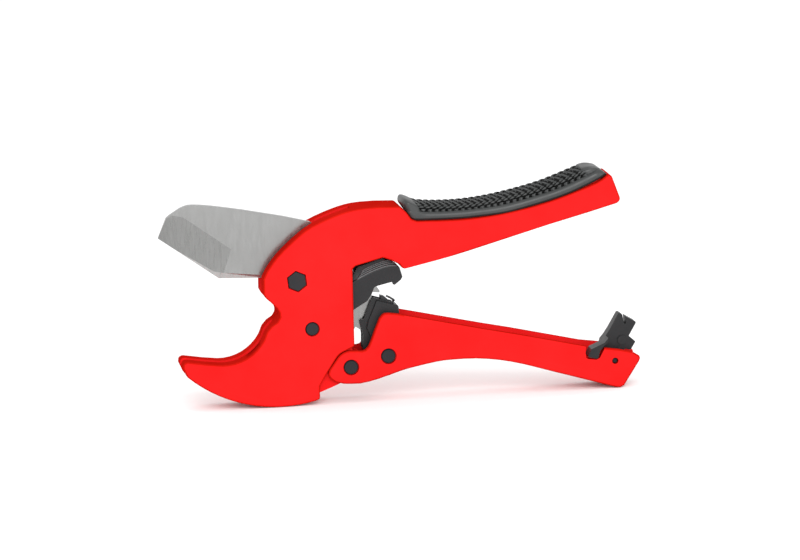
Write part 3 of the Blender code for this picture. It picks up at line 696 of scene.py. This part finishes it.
def thumb_rib(name, index, side):
    """One rib; those further in are shorter."""
    depth, rise, radius = RIBS[index]
    run = evenly(through(LEVER_TOP, LEVER_STEPS), RIB_STATIONS)
    run = run[index : RIB_STATIONS - 2 * index]
    path = [(x, side * depth, z + rise * ease(i, *RIB_LEAD_IN)) for i, (x, z) in enumerate(run)]
    mesh = grid_mesh(name, tube_rows(path, radius))
    rib = piece_from(mesh, name, "black_plastic", "release", RIB_SHARP)
    # The ribs take the lighter plastic as a painted highlight on their crests.
    rib.data.materials[0] = RIB_HIGHLIGHT_LOOK


for side, label in ((1.0, "near"), (-1.0, "far")):
    for index in range(len(RIBS)):
        thumb_rib(f"thumb_rib_{label}_{index}", index, side)


# ---------------------------------------------------------------- studio

# The tool lies tilted in the CAD frame, so the camera is tilted with it. Its lengths are in millimetres.
TILT = math.radians(1.5)
AZIMUTH = math.radians(9.5)
ELEVATION = math.radians(10.0)
VIEW_WIDTH = 378.486
LENS = 300.0
SENSOR = 36.0
BOLT_FACE_Y = -9.0
MIDDLE_RIGHT_OF_BOLT = 48.83
MIDDLE_ABOVE_BOLT = 0.6175


def tilted(v):
    x, y, z = v
    return Vector((x * math.cos(TILT) + z * math.sin(TILT), y, z * math.cos(TILT) - x * math.sin(TILT)))


def place_camera():
    """A long lens in front of the tool, a little towards its jaw and above it."""
    sideways = math.sin(ELEVATION)
    right = tilted((math.cos(AZIMUTH), -math.sin(AZIMUTH), 0.0))
    up = tilted((math.sin(AZIMUTH) * sideways, math.cos(AZIMUTH) * sideways, math.cos(ELEVATION)))
    ahead = up.cross(right)
    bolt = Vector((BLADE_PIVOT[0], BOLT_FACE_Y, BLADE_PIVOT[1]))
    middle = bolt + right * MIDDLE_RIGHT_OF_BOLT + up * MIDDLE_ABOVE_BOLT
    away = VIEW_WIDTH * LENS / SENSOR
    data = bpy.data.cameras.new("camera")
    data.lens = LENS
    data.sensor_width = SENSOR
    camera = bpy.data.objects.new("camera", data)
    bpy.context.scene.collection.objects.link(camera)
    facing = Matrix((right, up, -ahead)).transposed().to_4x4()
    camera.matrix_world = Matrix.Translation((middle - ahead * away) * MM) @ facing
    bpy.context.scene.camera = camera


# The floor and the lights are in metres.
FLOOR_REACH = 9.0
FLOOR_LEVEL = -0.0002


def pale_floor():
    """A wide pale floor just under the object."""
    signs = ((-1, -1), (1, -1), (1, 1), (-1, 1))
    mesh = bpy.data.meshes.new("floor")
    corners = [(a * FLOOR_REACH, b * FLOOR_REACH, FLOOR_LEVEL) for a, b in signs]
    mesh.from_pydata(corners, [], [(0, 1, 2, 3)])
    made = bpy.data.objects.new("floor", mesh)
    bpy.context.scene.collection.objects.link(made)
    look, tree, principled = shader("floor_paper")
    dark, light = (0.94, 0.94, 0.94), (0.965, 0.965, 0.965)
    tree.links.new(ramp(tree, noise(tree, 6.0, 2.0), dark, light), principled.inputs["Base Color"])
    principled.inputs["Roughness"].default_value = 0.9
    principled.inputs["Specular IOR Level"].default_value = 0.1
    mesh.materials.append(look)


LIGHTS_AIM = Vector((0.0, 0.0, 0.05))


def soft_light(name, place, size, energy):
    data = bpy.data.lights.new(name, "AREA")
    data.shape = "RECTANGLE"
    data.size, data.size_y = size
    data.energy = energy
    lamp = bpy.data.objects.new(name, data)
    bpy.context.scene.collection.objects.link(lamp)
    lamp.location = place
    lamp.rotation_euler = (LIGHTS_AIM - Vector(place)).to_track_quat("-Z", "Y").to_euler()


def white_world(strength):
    world = bpy.data.worlds.new("studio")
    world.use_nodes = True
    background = world.node_tree.nodes["Background"]
    background.inputs["Color"].default_value = (1.0, 1.0, 1.0, 1.0)
    background.inputs["Strength"].default_value = strength
    bpy.context.scene.world = world


place_camera()
pale_floor()
soft_light("key", (-0.15, -1.5, 0.75), (1.2, 1.0), 22.0)
soft_light("side", (1.2, -0.9, 0.5), (0.7, 0.7), 3.0)
white_world(1.06)
bpy.context.scene.view_settings.view_transform = "Standard"
